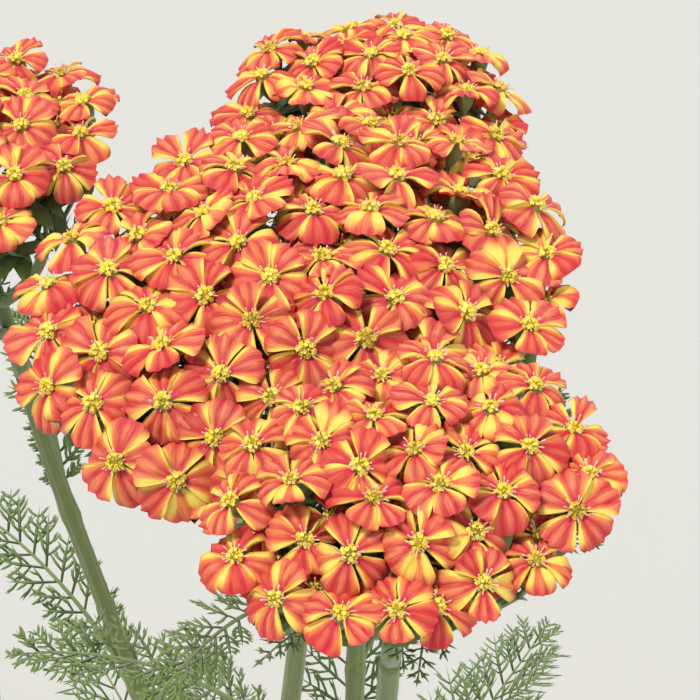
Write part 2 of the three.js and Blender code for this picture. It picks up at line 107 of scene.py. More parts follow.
STYLE = {"ring": 0.95, "height": 0.4, "radii": [0.09, 0.07, 0.12], "bow": 0.25,
         "outwards": (0.4, 1.05), "upwards": (0.3, 0.95)}
UNEVEN = {"tilt": 0.6, "rise": 1.9}  # how much more unevenly the finer heads stand
# small heads low between the others, the cup under a head, and the small leaves up its stalk
LATE = {"gap": 4.0, "depth": 3.1, "scale": 0.78, "share": 0.62, "search_step": 0.8, "inset": 4,
        "tilt": 0.7, "varies": (0.85, 1.15)}
CUP = {"sides": 10, "rows": 6, "foot": 0.42, "rim": 1.5, "closing": 0.28, "scales": 0.1}
SCALE_LEAF = {"count": 8, "length": 6.6, "width": 2.8, "rim": 0.9, "lowest": 0.45,
              "highest": 0.97, "lengths": (0.7, 1.15), "widths": (0.8, 1.2)}
BRACT = {"length": 17, "width": 3.6, "pairs": 6, "lobes": 1, "lengths": (0.8, 1.15)}
SWELLING = {"neck": 0.85, "tip": 0.75, "from": 0.86}  # of a branch where it divides
LEAFLETS = {"basal_pairs": 24, "stem_pairs": 16, "lobes": 5}
LOBE_WIDTHS = {"leaflet": 0.85, "lobe": 0.68, "fork": 0.58}
HAIR = {"count": 900, "half_width": 0.035, "length": (0.4, 1.0)}  # count: to a stem
CRUMBS = {"count": 500, "pale_share": 0.07, "smallest": 0.5, "largest": 1.9}
SEEDS = {"cluster": 1000, "stem": 2000, "basal": 3000, "soil": 77}
SLOTS = {"style": "disc"}  # another name for a look, which is looked up but not used


# ---- small helpers ----
def vec(*values):
    return np.array(values, float)


def unit(v):
    return v / np.linalg.norm(v)


def units(v):
    return v / np.linalg.norm(v, axis=-1, keepdims=True)


def lerp(a, b, t):
    return a + (b - a) * t


def evenly(count):
    return np.linspace(0, 1, count)


def smooth(low, high, value):
    """0 below low, 1 above high, and smooth between them."""
    t = np.clip((value - low) / (high - low), 0, 1)
    return t * t * (3 - 2 * t)


def heading(degrees):
    return vec(math.cos(math.radians(degrees)), math.sin(math.radians(degrees)), 0)


def turned_by(angle, side, other):
    """The direction at an angle from side towards other, which are square to each other."""
    return side * math.cos(angle) + other * math.sin(angle)


def square_to(aim, hint, angle):
    """A direction square to aim, at an angle round it."""
    first = unit(np.cross(aim, hint))
    return turned_by(angle, first, np.cross(aim, first))


def circle(sides, radius, height, shift=0.0):
    """A level ring of points, turned by a share of the step between them."""
    around = (np.arange(sides) + shift) / sides * TAU
    return np.stack([np.cos(around) * radius, np.sin(around) * radius, np.full(sides, height)], 1)


def random_from(seed):
    """A repeatable stream of numbers, by default from 0 to 1: the one that places the solids."""
    state = seed & 0xFFFFFFFF

    def draw(low=0.0, high=1.0):
        nonlocal state
        state = (state * 1664525 + 1013904223) & 0xFFFFFFFF
        return lerp(low, high, state / 2**32)

    return draw


class Batch:
    """Gathers closed meshes, with named values at their points, to be joined in one object."""

    def __init__(self):
        self.points, self.triangles, self.values, self.count = [], [], {}, 0

    def add(self, points, triangles, **values):
        points = np.asarray(points, float)
        self.points.append(points)
        self.triangles.append(np.asarray(triangles, int) + self.count)
        for name, value in values.items():
            held = self.values.setdefault(name, [])
            held.append(np.broadcast_to(np.asarray(value, float), len(points)).copy())
        self.count += len(points)

    def mesh(self, name):
        """All that was added, as one mesh in metres."""
        made = bpy.data.meshes.new(name)
        points, triangles = np.concatenate(self.points) * METRES, np.concatenate(self.triangles)
        made.from_pydata(points.tolist(), [], triangles.tolist())
        return made


def scene_object(name, data):
    made = bpy.data.objects.new(name, data)
    bpy.context.scene.collection.objects.link(made)
    return made


def mesh_object(name, batch, look, crease=None):
    """One object from a batch, riding on the root. Edges that turn by more than crease degrees
    are shaded sharp."""
    mesh = batch.mesh(name)
    mesh.shade_smooth()
    for key, held in batch.values.items():
        attribute = mesh.attributes.new(key, "FLOAT", "POINT")
        attribute.data.foreach_set("value", np.concatenate(held))
    mesh.validate()
    if crease:
        mesh.set_sharp_from_angle(angle=math.radians(crease))
    mesh.materials.append(LOOKS[look])
    obj = scene_object(name, mesh)
    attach(obj, "root")
    SLOTS.get(look, look)
    return obj


# ---- curves ----
def bezier(a, b, c, t):
    """Points of a quadratic curve."""
    t = np.asarray(t, float)[:, None]
    return (1 - t) ** 2 * a + 2 * t * (1 - t) * b + t * t * c


def catmull(stops, count):
    """Even points along a smooth curve through the stops (centripetal Catmull-Rom)."""
    stops = [np.asarray(p, float) for p in stops]
    ends = [2 * stops[0] - stops[1], *stops, 2 * stops[-1] - stops[-2]]
    fine = []
    for k in range(len(stops) - 1):
        p0, p1, p2, p3 = ends[k : k + 4]
        gaps = [max(np.linalg.norm(b - a), 1e-6) ** 0.5 for a, b in ((p0, p1), (p1, p2), (p2, p3))]
        m1 = (p1 - p0) / gaps[0] - (p2 - p0) / (gaps[0] + gaps[1]) + (p2 - p1) / gaps[1]
        m2 = (p2 - p1) / gaps[1] - (p3 - p1) / (gaps[1] + gaps[2]) + (p3 - p2) / gaps[2]
        m1, m2 = m1 * gaps[1], m2 * gaps[1]
        t = np.linspace(0, 1, 40, endpoint=k == len(stops) - 2)[:, None]
        fine.append(
            p1 * (2 * t**3 - 3 * t**2 + 1)
            + m1 * (t**3 - 2 * t**2 + t)
            + p2 * (3 * t**2 - 2 * t**3)
            + m2 * (t**3 - t**2)
        )
    return even_steps(np.concatenate(fine), count)


def run_of(points):
    """How far along a line of points each of them lies."""
    return np.concatenate([[0], np.cumsum(np.linalg.norm(np.diff(points, axis=0), axis=1))])


def sampled(values, lengths, wanted):
    return np.stack([np.interp(wanted, lengths, values[:, k]) for k in range(3)], axis=-1)


def even_steps(points, count):
    """Points at even distances along a line of points."""
    lengths = run_of(points)
    return sampled(points, lengths, np.linspace(0, lengths[-1], count))


def path_at(points, distances):
    """Places and directions at some distances along a line of points."""
    lengths = run_of(points)
    aims = sampled(np.gradient(points, axis=0), lengths, distances)
    return sampled(points, lengths, distances), units(aims)


def path_length(points):
    return float(np.linalg.norm(np.diff(points, axis=0), axis=1).sum())


def frames_along(points):
    """Tangent, side and other direction at each point of a path, without twist."""
    tangents = units(np.gradient(points, axis=0))
    first = vec(1, 0, 0) if abs(tangents[0][0]) < 0.9 else vec(0, 1, 0)
    side = unit(first - tangents[0] * first.dot(tangents[0]))
    sides = []
    for tangent in tangents:
        side = unit(side - tangent * side.dot(tangent))
        sides.append(side)
    sides = np.array(sides)
    return tangents, sides, np.cross(tangents, sides)


def tube(points, radii, sides, ribs=0, rib_height=0.0):
    """A closed round or ribbed stalk along a path: its points and triangles."""
    points = np.asarray(points, float)
    _, side, other = frames_along(points)
    angles = np.arange(sides) / sides * TAU
    rib = 1 + rib_height * np.cos(ribs * angles) if ribs else np.ones(sides)
    radii = np.broadcast_to(np.asarray(radii, float), len(points))
    ring = (
        side[:, None, :] * (np.cos(angles) * rib)[None, :, None]
        + other[:, None, :] * (np.sin(angles) * rib)[None, :, None]
    )
    return closed_rings(points[:, None, :] + ring * radii[:, None, None])


def closed_rings(rings):
    """Joins rings of points, and closes both ends with a middle point."""
    count, sides = rings.shape[:2]
    start, end = count * sides, count * sides + 1
    points = np.concatenate([rings.reshape(-1, 3), [rings[0].mean(0)], [rings[-1].mean(0)]])
    k = np.arange(sides)
    after = (k + 1) % sides
    corners = []
    for low in range(0, (count - 1) * sides, sides):
        high = low + sides
        corners += [(low + k, low + after, high + after), (low + k, high + after, high + k)]
    last = (count - 1) * sides
    corners += [(0 * k + start, after, k), (0 * k + end, last + k, last + after)]
    return points, np.concatenate([np.stack(each, 1) for each in corners])


# ---- where the flower heads go ----
def outline_reach(x, y, half_length, half_width):
    total = abs(x / half_length) ** OUTLINE_POWER + abs(y / half_width) ** OUTLINE_POWER
    return total ** (1 / OUTLINE_POWER)


def even_places(count, half_length, half_width, spacing):
    """Even places inside a rounded outline, a spacing apart where they fit."""
    places = []
    for n in range(count):
        reach = math.sqrt((n + 0.5) / count)
        angle = n * GOLDEN_ANGLE
        places.append([half_length * reach * math.cos(angle), half_width * reach * math.sin(angle)])
    for _ in range(80):
        for i in range(count):
            for j in range(i + 1, count):
                dx, dy = places[j][0] - places[i][0], places[j][1] - places[i][1]
                distance = math.hypot(dx, dy)
                if distance < spacing:
                    push = 0.4 * (spacing - distance) / distance
                    places[i] = [places[i][0] - dx * push, places[i][1] - dy * push]
                    places[j] = [places[j][0] + dx * push, places[j][1] + dy * push]
        for place in places:
            reach = outline_reach(*place, half_length, half_width)
            if reach > 1:
                place[0], place[1] = place[0] / reach, place[1] / reach
    return places


class ClusterFrame:
    """A cluster's own axis, long and short directions, and its domed surface."""

    def __init__(self, stem):
        self.stem = stem
        lean = math.tan(math.radians(stem["lean"]))
        self.axis = unit(vec(0, 0, 1) + heading(stem["towards"]) * lean)
        along = heading(stem["turn"])
        self.along = unit(along - self.axis * along.dot(self.axis))
        self.across = np.cross(self.axis, self.along)
        self.top = vec(*stem["top"])

    def at(self, x=0.0, y=0.0, depth=0.0):
        stem = self.stem
        reach = outline_reach(x, y, stem["long"], stem["wide"])
        sunk = stem["sag"] * reach * reach + depth
        return self.top + self.along * x + self.across * y - self.axis * sunk

    def reach(self, point):
        """0 on the cluster's axis and 1 on its outline."""
        offset = point - self.top
        x, y = offset.dot(self.along), offset.dot(self.across)
        return outline_reach(x, y, self.stem["long"], self.stem["wide"])

    def tilt(self, draw):
        """A small random lean away from the axis."""
        return self.along * (draw() - 0.5) + self.across * (draw() - 0.5)

    def branch_root(self, rise):
        """Where a branch leaves the stalk, rise of the way from the highest to the lowest."""
        high = CLUSTER["hub"] + BRANCH_ROOTS["highest"]
        low = CLUSTER["foot"] - BRANCH_ROOTS["lowest"]
        return self.at(depth=lerp(high, low, rise))


def is_shaded(point, stem):
    """Whether a taller cluster spreads over a point."""
    return any(
        taller["top"][2] > stem["top"][2] and ClusterFrame(taller).reach(point) < SHADE
        for taller in STEMS
    )


def nearest(tips, centre):
    return min(range(len(tips)), key=lambda k: np.sum((tips[k] - centre) ** 2))


def place_heads(stem):
    """A cluster's flower heads and branches, drawn in the same order as the solids' are."""
    cluster = ClusterFrame(stem)
    random = random_from(stem["seed"])
    inset = stem["size"] * HEAD["inset"] * HEAD["radius"]
    places = even_places(
        stem["heads"], stem["long"] - inset, stem["wide"] - inset, HEAD["spacing"]
    )
    tip_places = even_places(
        stem["branches"], TIPS["long"] * stem["long"], TIPS["wide"] * stem["wide"],
        TIPS["apart"] * stem["wide"],
    )
    tips = [cluster.at(x, y, CLUSTER["tip_drop"]) for x, y in tip_places]
    heads = []
    for x, y in places:
        if is_shaded(cluster.at(x, y), stem):
            continue
        jitter = [SCATTER["place"] * (random() - 0.5) for _ in range(3)]
        x, y = x + jitter[0], y + jitter[1]
        centre = cluster.at(x, y, jitter[2])
        tip = nearest(tips, centre)
        spread = centre - tips[tip]
        spread = spread - cluster.axis * spread.dot(cluster.axis)
        root = tips[tip] + spread * PEDICEL["gather"] - cluster.axis * PEDICEL["sunk"]
        normal = (
            cluster.axis
            + cluster.along * (SCATTER["fan"] * x + SCATTER["tilt"] * (random() - 0.5))
            + cluster.across * (SCATTER["fan"] * y + SCATTER["tilt"] * (random() - 0.5))
        )
        head = {
            "stage": "open", "centre": centre, "normal": unit(normal), "root": root, "tip": tip,
            "scale": stem["size"] * (0.95 + 0.1 * random()), "spin": TAU * random(), "rays": [],
        }
        for _ in range(RAYS):
            head["rays"].append({"lift": 0.9 * (random() - 0.5), "reach": 0.94 + 0.12 * random()})
        heads.append(head)
    return cluster, tips, heads


# ---- flower heads ----
def grid_triangles(across, along):
    """Top and bottom of a thin sheet that share their rim: triangles over (along + 1) rows of
    (across + 1) points, then the inner points of the underside."""
    wide, tall = across + 1, along + 1
    top = np.arange(wide * tall).reshape(tall, wide)
    under = top.copy()
    inner = np.arange((wide - 2) * (tall - 2)).reshape(tall - 2, wide - 2)
    under[1:-1, 1:-1] = wide * tall + inner
    a, b, c, d, e, f, g, h = (
        corner for grid in (top, under)
        for corner in (grid[:-1, :-1], grid[:-1, 1:], grid[1:, 1:], grid[1:, :-1])
    )
    rising = np.stack([a, b, c, a, c, d, e, g, f, e, h, g], -1)
    falling = np.stack([a, b, d, b, c, d, e, h, f, f, h, g], -1)
    j, i = np.indices(a.shape)
    rises = (i < across // 2) == (j % 2 == 0)
    return np.where(rises[..., None], rising, falling).reshape(-1, 3)


def ray_grid(across, along):
    """Where the points of a ray's sheet lie across it and along it, and its triangles."""
    u = np.sin(np.linspace(-1, 1, across + 1) * 0.46 * math.pi) / math.sin(0.46 * math.pi)
    v = evenly(along + 1) ** 0.9
    return *np.meshgrid(u, v), grid_triangles(across, along)


RAY_GRIDS = {stage: ray_grid(*faces) for stage, faces in RAY_GRID.items()}


def ray_shape(draw, length, half_width, u, v):
    """One ray in its own frame, x across, y outwards, z up: the points of its sheet."""
    opening = np.sin(np.clip(v / RAY["widest"], 0, 1) * math.pi / 2) ** 1.02
    width = half_width * lerp(RAY["neck"], 1.0, opening)
    width = width * (1 - RAY["narrowing"] * smooth(RAY["widest"], 1.0, v))
    pleats = np.cos(3 * math.pi * u)
    notch = draw(*RAY_VARIES["notch"])
    tip = notch * pleats * (1 - u**2) - RAY["shoulder"] * np.abs(u) ** 3
    out = RAY["root"] + (length - RAY["root"]) * v * (1 + tip * v**3)
    x = u * width
    sides = draw(*RAY_VARIES["roll"]), draw(*RAY_VARIES["roll"])
    rolled = np.sin(np.clip(v * 1.05, 0, 1) ** 0.7 * math.pi)
    roll = np.where(u < 0, *sides) * np.abs(u) ** 5 * rolled
    arch, droop, bulge, curl = (
        draw(*RAY_VARIES[key]) for key in ("arch", "droop", "bulge", "curl")
    )
    z = arch * 2 * v * (1 - v) - droop * v**2.4 + curl * smooth(0.78, 1.0, v)
    z = z - bulge * u**2 * smooth(0, 0.6, v)
    z = z + RAY["pleat"] * pleats * smooth(0.05, 0.4, v) * (1 - np.abs(u) ** 6)
    z = z + RAY["roll"] * roll
    z = z + 0.14 * np.sin(TAU * (1.2 * v + draw())) * u
    x = x - np.sign(u) * 0.3 * roll
    points = np.stack([x, out, z], axis=-1)
    normals = units(np.cross(np.gradient(points, axis=1), np.gradient(points, axis=0)))
    under = (points - normals * RAY["thickness"])[1:-1, 1:-1].reshape(-1, 3)
    flat = lambda grid: np.concatenate([grid.ravel(), grid[1:-1, 1:-1].ravel()])
    return np.concatenate([points.reshape(-1, 3), under]), flat(u), flat(v)


def head_axes(head):
    normal = head["normal"]
    side = unit(vec(1, 0, 0) - normal * normal[0])
    return side, np.cross(normal, side), normal


def add_rays(batch, head, draw):
    side, other, normal = head_axes(head)
    grid_u, grid_v, triangles = RAY_GRIDS[head["stage"]]
    turn = TAU / RAYS
    gold, hue = draw(), draw()
    for k, ray in enumerate(head["rays"]):
        angle = head["spin"] + (k + 0.5) * turn + draw(*RAY_VARIES["swing"])
        outward = turned_by(angle, side, other)
        sideways = np.cross(outward, normal)
        tilt = draw(*RAY_VARIES["tilt"])
        length = RAY["length"] * ray["reach"] * head["scale"] * draw(*RAY_VARIES["length"])
        half = RAY["half_width"] * head["scale"] * draw(*RAY_VARIES["width"])
        shape, u, v = ray_shape(draw, length, half, grid_u, grid_v)
        rise = shape[:, 2] + tilt * shape[:, 1] + 0.35 * ray["lift"] * (k % 2 - 0.5) - 0.1
        points = (
            head["centre"]
            + shape[:, :1] * sideways
            + shape[:, 1:2] * outward
            + rise[:, None] * normal
        )
        yellow = 0.18 * draw() + (0.75 * draw() if draw() < 0.12 else 0) + 0.12 * gold
        batch.add(
            points, triangles,
            across=u, along=v, tint=lerp(hue, draw(), 0.5), gold=yellow, seed=draw(),
        )


def unit_dome(sides, levels, top=1.0):
    """Points and triangles of a closed dome: 1 across its foot, top high."""
    angles = [level / levels * math.pi / 2 for level in range(levels)]
    rings = [circle(sides, math.cos(angle), top * math.sin(angle)) for angle in angles]
    points, triangles = closed_rings(np.array([circle(sides, 1.0, -0.35 * top), *rings]))
    points[-1] = (0, 0, top)
    return points, triangles


def floret_shape():
    """One open disc floret: a short tube whose five lobes spread into a star."""
    star = np.tile([1.0, 0.55], 5)
    levels = ((0.42, -1.2), (star, 0.65), (0.35, 0.35))
    return closed_rings(np.array([circle(len(star), *level) for level in levels]))


def bud_shape():
    """One closed disc floret: a round bud."""
    points, triangles = unit_dome(7, 3, 1.1)
    return points * vec(0.7, 0.7, 1), triangles


FLORET, BUD, DOME = floret_shape(), bud_shape(), unit_dome(10, 3, DISC["rise"])


def place(points, centre, side, other, normal, scale):
    return centre + (
        points[:, :1] * side + points[:, 1:2] * other + points[:, 2:3] * normal
    ) * scale


def add_disc(batch, head, draw):
    """The golden middle: a dome of florets, open outside and in bud at the middle, with styles."""
    side, other, normal = head_axes(head)
    radius = DISC["radius"] * head["scale"] * draw(*DISC["varies"])
    age = draw()
    worn = 0.75 * float(smooth(0.8, 1.0, age))
    batch.add(
        place(DOME[0], head["centre"], side, other, normal, radius), DOME[1],
        ripe=0.0, worn=0.0, seed=draw(),
    )
    count = FLORETS[head["stage"]]
    for n in range(count):
        reach = math.sqrt((n + draw(0.2, 0.7)) / count)
        angle = n * GOLDEN_ANGLE + head["spin"] + 0.5 * (draw() - 0.5)
        polar = reach * DISC["spread"]
        out = turned_by(angle, side, other)
        direction = unit(normal * math.cos(polar) + out * math.sin(polar) * draw(0.4, 1.0))
        spot = head["centre"] + out * math.sin(polar) * radius
        spot = spot + normal * (DISC["rise"] * math.cos(polar) + 0.3 * draw() - 0.05) * radius
        across = unit(np.cross(direction, side + 0.3 * other))
        along = np.cross(direction, across)
        opened = reach > lerp(0.1, 0.6, age)
        shape, triangles = FLORET if opened else BUD
        size = DISC["floret"] * head["scale"] * (draw(*DISC["opened"]) if opened else DISC["bud"])
        batch.add(
            place(shape, spot, across, along, direction, size), triangles,
            ripe=draw(0.35, 1.0) if opened else 0.2, worn=worn * draw(), seed=draw(),
        )


def add_styles(batch, head, draw):
    """Thin pale styles that stand out between the florets and over the foot of the rays."""
    side, other, normal = head_axes(head)
    count = STYLES[head["stage"]]
    for n in range(count):
        out = turned_by((n + draw()) / count * TAU, side, other)
        foot = head["centre"] + out * STYLE["ring"] * head["scale"] + normal * STYLE["height"]
        tip = foot + out * draw(*STYLE["outwards"]) + normal * draw(*STYLE["upwards"])
        middle = (foot + tip) / 2 + normal * STYLE["bow"]
        path = bezier(foot, middle, tip, [0, 0.5, 1])
        batch.add(*tube(path, STYLE["radii"], sides=4), seed=draw())


# ---- green parts of a cluster ----
def add_involucre(batch, leaves, cluster, head, draw):
    """The green cup under a head, with overlapping bracts, and its leafy stalk down to the
    branch."""
    side, other, normal = head_axes(head)
    scale = head["scale"]
    sides, rows = CUP["sides"], CUP["rows"]
    around = np.arange(sides) / sides * TAU
    rings = []
    for row in range(rows + 1):
        t = row / rows
        opening = math.sin(min(t * 1.25, 1) * math.pi / 2)
        radius = lerp(CUP["foot"], CUP["rim"], opening) - CUP["closing"] * t**4
        scales = CUP["scales"] * ((t * 3) % 1)
        wobble = 1 + scales * (0.5 + 0.5 * np.cos(5 * (around + (row // 2) * TAU / 10)))
        rings.append(circle(sides, radius * wobble, lerp(-HEAD["cup_depth"], -0.15, t)))
    points, triangles = closed_rings(np.array(rings))
    batch.add(
        place(points, head["centre"], side, other, normal, scale), triangles,
        height=1.0, seed=draw(),
    )
    foot = head["centre"] - normal * (HEAD["cup_depth"] - 0.3) * scale
    bend = foot - normal * 0.45 * np.linalg.norm(foot - head["root"])
    path = bezier(head["root"], bend, foot, evenly(6))
    batch.add(*tube(path, np.linspace(*PEDICEL["radii"], 6), sides=6), height=0.6, seed=draw())
    add_scale_leaves(leaves, cluster, path, normal, draw)


def scale_leaf_shape():
    """A small pointed leaf, folded a little along its middle: x across, y along, z up."""
    rings = []
    stops = ((0.0, 0.25, 0.0), (0.3, 0.9, 0.04), (0.6, 1.0, 0.02), (0.86, 0.5, -0.06))
    for along, half, rise in stops:
        edge = rise + 0.12 * half
        rings.append([(-half, along, edge), (0, along, rise - 0.03), (half, along, edge),
                      (0, along, rise + 0.04)])
    points, triangles = closed_rings(np.array(rings, float))
    points[-1] = (0, 1, -0.14)
    return points, triangles


SCALE_LEAF_SHAPE = scale_leaf_shape()


def add_scale_leaves(batch, cluster, path, normal, draw):
    """The small leaves that stand up a flower's stalk and close the cluster from below."""
    turn = TAU * draw()
    shape, triangles = SCALE_LEAF_SHAPE
    for n in range(SCALE_LEAF["count"]):
        step = (n + draw()) / SCALE_LEAF["count"]
        share = lerp(SCALE_LEAF["lowest"], SCALE_LEAF["highest"], step)
        (foot,), (aim,) = path_at(path, [share * path_length(path)])
        out = square_to(aim, vec(1, 0.2, 0), turn + n * GOLDEN_ANGLE)
        out = unit(out - normal * out.dot(normal) + normal * draw(-0.3, 0.12))
        across = unit(np.cross(out, normal))
        length = SCALE_LEAF["length"] * draw(*SCALE_LEAF["lengths"])
        if cluster.reach(foot + out * length) > SCALE_LEAF["rim"]:
            continue
        half = SCALE_LEAF["width"] / 2 * draw(*SCALE_LEAF["widths"])
        points = (
            foot + shape[:, :1] * half * across + shape[:, 1:2] * length * out
            + shape[:, 2:3] * length * np.cross(across, out)
        )
        batch.add(points, triangles, reach=0.15 + 0.5 * shape[:, 1], seed=draw())


def add_branches(batch, cluster, tips, draw):
    """The stalk that carries the cluster, and its branches, swollen where they divide."""
    foot, hub = cluster.at(depth=CLUSTER["foot"]), cluster.at(depth=CLUSTER["hub"])
    path = even_steps(np.array([foot, hub]), 8)
    radii = np.linspace(STEM["top_radius"], 0.9 * BRANCH["root_radius"], 8)
    stalk = tube(path, radii, sides=14, ribs=7, rib_height=0.06)
    batch.add(*stalk, height=0.2, seed=draw())
    t = evenly(14)
    radii = lerp(BRANCH["root_radius"], SWELLING["neck"], t)
    radii = radii + SWELLING["tip"] * smooth(SWELLING["from"], 1.0, t)
    for k, tip in enumerate(tips):
        root = cluster.branch_root(k / len(tips))
        climb = (tip - root).dot(cluster.axis)
        bend = root + (tip - root) * BRANCH["bend_at"] - cluster.axis * BRANCH["bend_drop"] * climb
        branch = tube(bezier(root, bend, tip, t), radii, sides=12, ribs=6, rib_height=0.07)
        batch.add(*branch, height=0.4, seed=draw())


def late_heads(stem, cluster, tips, heads, draw):
    """Small heads that open lower down, each in the widest gap that is left between the others."""
    axes = np.array([cluster.along, cluster.across])
    taken = [axes @ (head["centre"] - cluster.top) for head in heads]
    inner = stem["long"] - LATE["inset"], stem["wide"] - LATE["inset"]
    span = np.arange(-stem["long"], stem["long"], LATE["search_step"])
    spots = [
        (x, y) for x in span for y in span
        if outline_reach(x, y, *inner) < 1
        and not is_shaded(cluster.at(x, y), stem)
    ]
    spots = np.array(spots)
    room = np.min(np.linalg.norm(spots[:, None] - np.array(taken)[None], axis=2), axis=1)
    late = []
    while room.max() > LATE["gap"] and len(late) < LATE["share"] * len(heads):
        x, y = spots[room.argmax()]
        room = np.minimum(room, np.linalg.norm(spots - (x, y), axis=1))
        centre = cluster.at(x, y, LATE["depth"] + 0.8 * draw())
        late.append({
            "stage": "late", "centre": centre,
            "normal": unit(cluster.axis + LATE["tilt"] * cluster.tilt(draw)),
            "root": tips[nearest(tips, centre)],
            "scale": stem["size"] * LATE["scale"] * draw(*LATE["varies"]), "spin": TAU * draw(),
            "rays": [{"lift": 0, "reach": draw(0.9, 1.1)} for _ in range(RAYS)],
        })
    return late


def add_bracts(batch, cluster, tips, draw):
    """A small cut leaf where each branch leaves the stalk, and one more along the branch."""
    for k, tip in enumerate(tips):
        root = cluster.branch_root(k / len(tips))
        out = tip - root
        out = unit(out - cluster.axis * out.dot(cluster.axis))
        side = np.cross(cluster.axis, out)
        for start, size in ((root, 1.0), (lerp(root, tip, 0.8) - cluster.axis, 0.75)):
            length = BRACT["length"] * size * draw(*BRACT["lengths"])
            swing = unit(out + side * (draw() - 0.5))
            bend = start + swing * 0.3 * length + cluster.axis * 0.45 * length
            end = start + swing * 0.85 * length + cluster.axis * 0.5 * length
            spine = even_steps(bezier(start, bend, end, evenly(24)), 16)
            add_leaf(
                batch, spine, np.cross(cluster.axis, swing), BRACT["pairs"], BRACT["lobes"],
                leaf_width(BRACT["width"] * size), draw, thickness=0.5, bare=0.08,
            )


def build_cluster(stem):
    cluster, tips, heads = place_heads(stem)
    draw = random_from(SEEDS["cluster"] + stem["seed"])
    for head in heads:
        head["normal"] = unit(head["normal"] + cluster.tilt(draw) * UNEVEN["tilt"])
        head["centre"] = head["centre"] + cluster.axis * UNEVEN["rise"] * (draw() - 0.5)
    rays, discs, styles, green, bracts = (Batch() for _ in range(5))
    for head in heads + late_heads(stem, cluster, tips, heads, draw):
        add_rays(rays, head, draw)
        add_disc(discs, head, draw)
        add_styles(styles, head, draw)
        add_involucre(green, bracts, cluster, head, draw)
    add_branches(green, cluster, tips, draw)
    add_bracts(bracts, cluster, tips, draw)
    for kind, batch, look, crease in (
        ("rays", rays, "rays", 75),
        ("florets", discs, "disc", None),
        ("styles", styles, "style", None),
        ("branches", green, "stem", None),
        ("bracts", bracts, "leaf", None),
    ):
        piece = mesh_object(f"{kind}_{stem['name']}", batch, look, crease)
        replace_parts(piece, f"flower_cluster_{stem['name']}")


# ---- stems and leaves ----
def stem_path(stem, count=110):
    """The middle of a stem, from its foot in the compost to the stalk of its cluster."""
    cluster = ClusterFrame(stem)
    foot = cluster.at(depth=CLUSTER["foot"] + GAP)
    base = heading(stem["base"]) * STEM["ring"]
    soil = SOIL["level"] + SOIL["mound"]
    half = (base + vec(foot[0], foot[1], 0)) / 2
    half[2] = 0.45 * (soil + 12) + 0.55 * foot[2]
    under = foot - cluster.axis * 25
    low = [base + vec(0, 0, z) for z in (soil - SOIL["hole"] + GAP, soil, soil + 12)]
    return catmull([*low, half, under, foot], count)


def leaf_width(most):
    """A leaf's outline: widest a little past the middle, narrow at both ends."""
    return lambda at: most * np.sin(math.pi * (0.1 + 0.82 * at)) ** 0.8


LOBE_TRIANGLES = np.array(
    [(0, 2, 1)]
    + [t for k in range(3) for t in (
        (k, (k + 1) % 3, 3 + (k + 1) % 3), (k, 3 + (k + 1) % 3, 3 + k), (3 + k, 3 + (k + 1) % 3, 6),
    )]
)


def add_lobes(batch, feet, aims, normals, lengths, widths, bends, near, far, seeds):
    """Many thin closed leaf lobes at once, each from its foot to its own tip."""
    count = len(feet)
    aims = units(aims)
    sides = units(np.cross(aims, normals))
    ups = np.cross(aims, sides)
    points = np.zeros((count, 7, 3))
    for level, (t, share) in enumerate(((0.0, 0.6), (0.5, 1.0))):
        middle = feet + aims * (lengths * t)[:, None] - ups * (bends * t * t)[:, None]
        wide = sides * (0.5 * share * widths)[:, None]
        thick = ups * (0.4 * share * widths)[:, None]
        for corner, shift in enumerate((wide, thick, -wide)):
            points[:, 3 * level + corner] = middle + shift
    points[:, 6] = feet + aims * lengths[:, None] - ups * bends[:, None]
    starts = np.arange(count)[:, None, None] * 7
    reach = np.repeat(near[:, None], 7, axis=1)
    reach[:, 3:6] = ((near + far) / 2)[:, None]
    reach[:, 6] = far
    batch.add(
        points.reshape(-1, 3), (LOBE_TRIANGLES[None] + starts).reshape(-1, 3),
        reach=reach.ravel(), seed=np.repeat(seeds, 7),
    )


